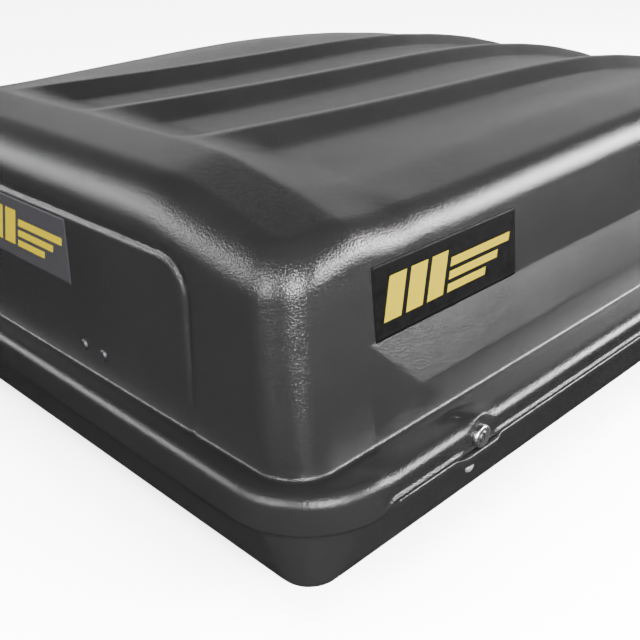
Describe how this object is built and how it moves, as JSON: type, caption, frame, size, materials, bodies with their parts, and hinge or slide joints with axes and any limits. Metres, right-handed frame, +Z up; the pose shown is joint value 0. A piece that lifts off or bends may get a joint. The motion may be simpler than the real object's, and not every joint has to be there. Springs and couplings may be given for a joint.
{
  "type": "roof cargo box",
  "caption": "Hard-shell rear-opening roof cargo box with a ribbed, nose-sloped lid on front hinges, side key locks and clamp bolts for roof-rack crossbars.",
  "frame": {"origin": "centre of the flat underside of the base", "axes": "+X towards the nose of the box and the front of the car, +Y to the car's left, +Z up"},
  "size_m": [1.5175, 0.984, 0.4006],
  "materials": {
    "black_sheet": "thermoformed black sheet with a fine satin grain",
    "printed_film": "thin printed film, black with a plain yellow graphic",
    "knob_plastic": "moulded black plastic",
    "chrome_plate": "plated die-cast lock",
    "dark_aluminium": "black painted rivet head",
    "bare_aluminium": "bare rivet aluminium",
    "rubber_pad": "dull moulded rubber",
    "aluminium_sheet": "mill-finish sheet",
    "zinc_steel": "bright zinc plated steel"
  },
  "bodies": {
    "base": {"base_hinge_leaf_left": "zinc_steel", "base_hinge_leaf_right": "zinc_steel", "base_tray": "black_sheet", "clamp_backing_plates": "zinc_steel", "clamp_saddles": "rubber_pad", "floor_rail_left": "aluminium_sheet", "floor_rail_right": "aluminium_sheet", "hinge_pin_left": "zinc_steel", "hinge_pin_right": "zinc_steel", "hinge_rivets_base": "bare_aluminium", "lock_strike_left": "zinc_steel", "lock_strike_right": "zinc_steel", "strike_rivets": "bare_aluminium", "u_bolt_1": "zinc_steel", "u_bolt_2": "zinc_steel", "u_bolt_3": "zinc_steel", "u_bolt_4": "zinc_steel"},
    "lid": {"lid_shell": "black_sheet", "hinge_rivets_lid": "bare_aluminium", "rear_rivets": "dark_aluminium", "rear_backing_plates": "aluminium_sheet", "rear_label": "printed_film", "lid_hinge_leaf_right": "zinc_steel", "lock_body_right": "chrome_plate", "lock_nut_right": "zinc_steel", "side_decal_right": "printed_film", "lid_hinge_leaf_left": "zinc_steel", "lock_body_left": "chrome_plate", "lock_nut_left": "zinc_steel", "side_decal_left": "printed_film"},
    "lock_right": {"lock_plug_right": "chrome_plate", "lock_cam_right": "zinc_steel"},
    "lock_left": {"lock_plug_left": "chrome_plate", "lock_cam_left": "zinc_steel"},
    "knob_1": {"clamp_knob_1": "knob_plastic"},
    "knob_2": {"clamp_knob_2": "knob_plastic"},
    "knob_3": {"clamp_knob_3": "knob_plastic"},
    "knob_4": {"clamp_knob_4": "knob_plastic"},
    "knob_5": {"clamp_knob_5": "knob_plastic"},
    "knob_6": {"clamp_knob_6": "knob_plastic"},
    "knob_7": {"clamp_knob_7": "knob_plastic"},
    "knob_8": {"clamp_knob_8": "knob_plastic"}
  },
  "joints": [
    {"name": "lid_hinge", "type": "hinge", "parent": "base", "child": "lid", "pos_m": [0.762, 0, 0.062], "axis": [0, 1, 0], "range_deg": [0, 50]},
    {"name": "lock_right_turn", "type": "hinge", "parent": "lid", "child": "lock_right", "pos_m": [-0.5135, -0.475, 0.0805], "axis": [0, -1, 0], "range_deg": [0, 90]},
    {"name": "lock_left_turn", "type": "hinge", "parent": "lid", "child": "lock_left", "pos_m": [-0.5135, 0.475, 0.0805], "axis": [0, -1, 0], "range_deg": [0, 90]},
    {"name": "knob_1_spin", "type": "hinge", "parent": "base", "child": "knob_1", "pos_m": [-0.368, -0.3, 0.024], "axis": [0, 0, 1], "continuous": true},
    {"name": "knob_2_spin", "type": "hinge", "parent": "base", "child": "knob_2", "pos_m": [-0.292, -0.3, 0.024], "axis": [0, 0, 1], "continuous": true},
    {"name": "knob_3_spin", "type": "hinge", "parent": "base", "child": "knob_3", "pos_m": [-0.368, 0.3, 0.024], "axis": [0, 0, 1], "continuous": true},
    {"name": "knob_4_spin", "type": "hinge", "parent": "base", "child": "knob_4", "pos_m": [-0.292, 0.3, 0.024], "axis": [0, 0, 1], "continuous": true},
    {"name": "knob_5_spin", "type": "hinge", "parent": "base", "child": "knob_5", "pos_m": [0.332, -0.3, 0.024], "axis": [0, 0, 1], "continuous": true},
    {"name": "knob_6_spin", "type": "hinge", "parent": "base", "child": "knob_6", "pos_m": [0.408, -0.3, 0.024], "axis": [0, 0, 1], "continuous": true},
    {"name": "knob_7_spin", "type": "hinge", "parent": "base", "child": "knob_7", "pos_m": [0.332, 0.3, 0.024], "axis": [0, 0, 1], "continuous": true},
    {"name": "knob_8_spin", "type": "hinge", "parent": "base", "child": "knob_8", "pos_m": [0.408, 0.3, 0.024], "axis": [0, 0, 1], "continuous": true}
  ]
}
